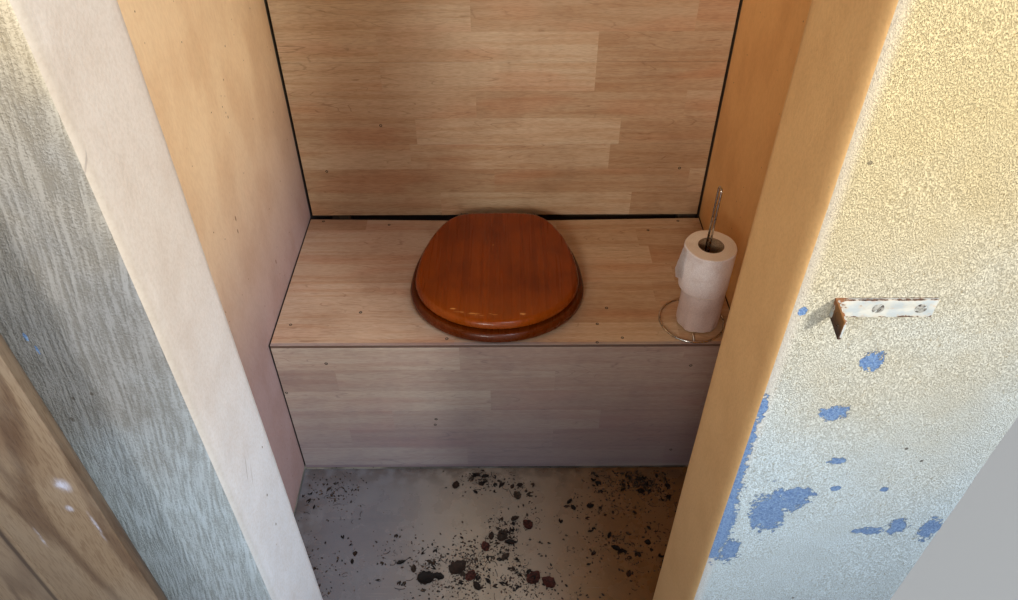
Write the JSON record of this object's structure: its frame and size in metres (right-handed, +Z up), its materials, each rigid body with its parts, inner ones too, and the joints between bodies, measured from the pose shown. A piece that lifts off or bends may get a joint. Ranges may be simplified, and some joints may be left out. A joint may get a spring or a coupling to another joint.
{
  "type": "outhouse with rendered walls, board door and boxed seat",
  "caption": "Small outhouse with rendered walls, an outward opening ledged board door, a bench boxed in with laminate planks, a wooden seat with a lid, and a pent roof.",
  "frame": {"origin": "on the ground at the middle of the building's footprint", "axes": "+Z up, +Y into the building from the doorway, +X to the right as seen from the doorway"},
  "size_m": [1.7408, 1.4025, 2.3286],
  "materials": {
    "render_outside": "matt, rough trowelled render with peeled patches",
    "render_inside": "matt, smooth painted render",
    "concrete": "rough, grey",
    "floor_cover": "matt, dirty beige sheet",
    "laminate": "satin pale three-strip laminate",
    "timber": "sawn, bare",
    "seat_wood": "red-brown gloss varnish",
    "door_wood": "brown varnish, worn",
    "rubber": "black",
    "steel": "dull zinc plating",
    "black_iron": "black paint with rust",
    "white_iron": "white paint, rusty edges",
    "chrome_wire": "bright wire, a little dull",
    "paper": "white, soft, finely embossed",
    "sheet_metal": "weathered zinc coating"
  },
  "bodies": {
    "house": {"base_slab": "concrete", "floor_sheet": "floor_cover", "left_wall": "render_inside", "right_wall": "render_inside", "back_wall": "render_inside", "front_wall_left": "render_outside", "front_wall_right": "render_outside", "front_wall_top": "render_outside", "back_battens": "timber", "back_planks": "laminate", "bench_frame": "timber", "bench_deck": "timber", "bench_top_front": "laminate", "bench_top_middle": "laminate", "bench_top_back": "laminate", "bench_front_upper": "laminate", "bench_front_lower": "laminate", "seat_ring": "seat_wood", "ring_pads": "rubber", "ring_hinge_straps": "steel", "seat_hinge_posts": "steel", "seat_hinge_pin": "steel", "roll_stand": "chrome_wire", "paper_rolls": "paper", "keeper_bracket": "white_iron", "hinge_hooks": "black_iron", "rafters": "timber", "roof_boards": "timber", "roof_sheet": "sheet_metal", "fascia_boards": "door_wood", "barge_boards": "door_wood"},
    "door": {"door_board_1": "door_wood", "door_board_2": "door_wood", "door_board_3": "door_wood", "door_board_4": "door_wood", "door_board_5": "door_wood", "door_board_6": "door_wood", "door_board_7": "door_wood", "door_ledges": "door_wood", "hinge_straps": "black_iron", "latch_bolt": "steel", "door_pull": "black_iron"},
    "lid": {"seat_lid": "seat_wood", "lid_pads": "rubber", "lid_hinge_straps": "steel"}
  },
  "joints": [
    {"name": "door_hinge", "type": "hinge", "parent": "house", "child": "door", "pos_m": [-0.4065, -0.58, 1], "axis": [0, 0, 1], "range_deg": [0, 180]},
    {"name": "lid_hinge", "type": "hinge", "parent": "house", "child": "lid", "pos_m": [-0.017, 0.413, 0.533], "axis": [-1, 0, 0], "range_deg": [0, 90]}
  ]
}
